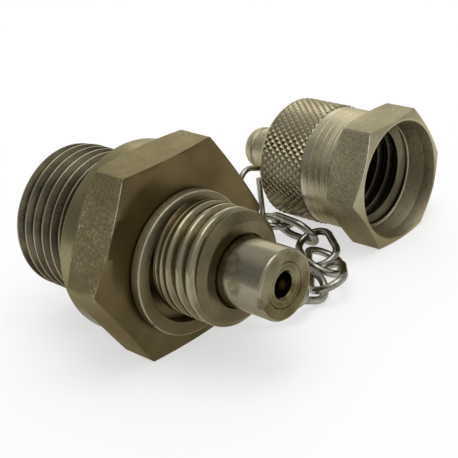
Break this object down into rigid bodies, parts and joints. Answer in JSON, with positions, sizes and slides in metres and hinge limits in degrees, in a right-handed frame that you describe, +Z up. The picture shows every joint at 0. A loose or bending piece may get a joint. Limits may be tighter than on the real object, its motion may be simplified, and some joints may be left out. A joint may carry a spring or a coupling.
{
  "type": "test point coupling",
  "caption": "Hydraulic test point coupling with a hexagon body, pipe-thread stud, test thread with valve nose, and a knurled screw cap held by a chain and wire loop.",
  "frame": {"origin": "on the body's axis in the plane of the collar's sealing face behind the hexagon", "axes": "+X along the body's axis towards the valve nose, +Z up with the part lying on a table, +Y towards the cap"},
  "size_m": [0.0416, 0.0653, 0.027],
  "materials": {
    "body_plating": "zinc-nickel plating, satin",
    "cap_plating": "zinc-nickel plating, satin",
    "ring_plating": "plated, satin",
    "insert_steel": "turned, semi-polished",
    "chain_steel": "bright wire",
    "valve_steel": "polished",
    "seal_rubber": "matt black"
  },
  "bodies": {
    "coupling": {"coupling_body": "body_plating", "port_seal_ring": "seal_rubber", "nose_insert": "insert_steel", "seat_bush": "insert_steel", "insert_seal_ring": "seal_rubber", "valve_spring": "valve_steel", "spring_retainer": "insert_steel"},
    "ball": {"valve_ball": "valve_steel"},
    "ring": {"chain_ring": "ring_plating"},
    "link_1": {"chain_link_1": "chain_steel"},
    "link_2": {"chain_link_2": "chain_steel"},
    "link_3": {"chain_link_3": "chain_steel"},
    "link_4": {"chain_link_4": "chain_steel"},
    "link_5": {"chain_link_5": "chain_steel"},
    "link_6": {"chain_link_6": "chain_steel"},
    "link_7": {"chain_link_7": "chain_steel"},
    "loop": {"cap_loop": "chain_steel"},
    "cap": {"protective_cap": "cap_plating", "cap_knob": "cap_plating", "cap_seal": "seal_rubber"}
  },
  "joints": [
    {"name": "valve_slide", "type": "slide", "parent": "coupling", "child": "ball", "axis": [-1, 0, 0], "range_m": [0, 0.002], "stiffness_N_per_m": 1500, "springref_m": -0.002, "deforming": ["valve_spring"]},
    {"name": "ring_turn", "type": "hinge", "parent": "coupling", "child": "ring", "pos_m": [0.01045, 0, 0], "axis": [1, 0, 0], "continuous": true},
    {"name": "link_1_swing", "type": "hinge", "parent": "ring", "child": "link_1", "pos_m": [0.01205, 0.0083, -0.0095], "axis": [0, 0, 1], "range_deg": [-35, 10]},
    {"name": "link_2_swing", "type": "hinge", "parent": "link_1", "child": "link_2", "pos_m": [0.01654, 0.01224, -0.00953], "axis": [0, 0, 1], "range_deg": [-15, 25]},
    {"name": "link_3_swing", "type": "hinge", "parent": "link_2", "child": "link_3", "pos_m": [0.0179, 0.01758, -0.01116], "axis": [0, 0, -1], "range_deg": [-12, 12]},
    {"name": "link_4_swing", "type": "hinge", "parent": "link_3", "child": "link_4", "pos_m": [0.01477, 0.02155, -0.01131], "axis": [0, 0, 1], "range_deg": [-35, 12]},
    {"name": "link_5_swing", "type": "hinge", "parent": "link_4", "child": "link_5", "pos_m": [0.01123, 0.02539, -0.01216], "axis": [0, 0, -1], "range_deg": [-15, 35]},
    {"name": "link_6_swing", "type": "hinge", "parent": "link_5", "child": "link_6", "pos_m": [0.00624, 0.02827, -0.01106], "axis": [0, 0, 1], "range_deg": [0, 15]},
    {"name": "link_7_swing", "type": "hinge", "parent": "link_6", "child": "link_7", "pos_m": [-0.00031, 0.02851, -0.01086], "axis": [0, 0, -1], "range_deg": [-12, 0]},
    {"name": "loop_swing", "type": "hinge", "parent": "link_7", "child": "loop", "pos_m": [-0.00603, 0.03083, -0.008], "axis": [0, 0, 1], "range_deg": [0, 10]},
    {"name": "cap_spin", "type": "hinge", "parent": "loop", "child": "cap", "pos_m": [-0.00623, 0.03843, -0.004], "axis": [0.9997, 0.0262, 0], "continuous": true}
  ]
}
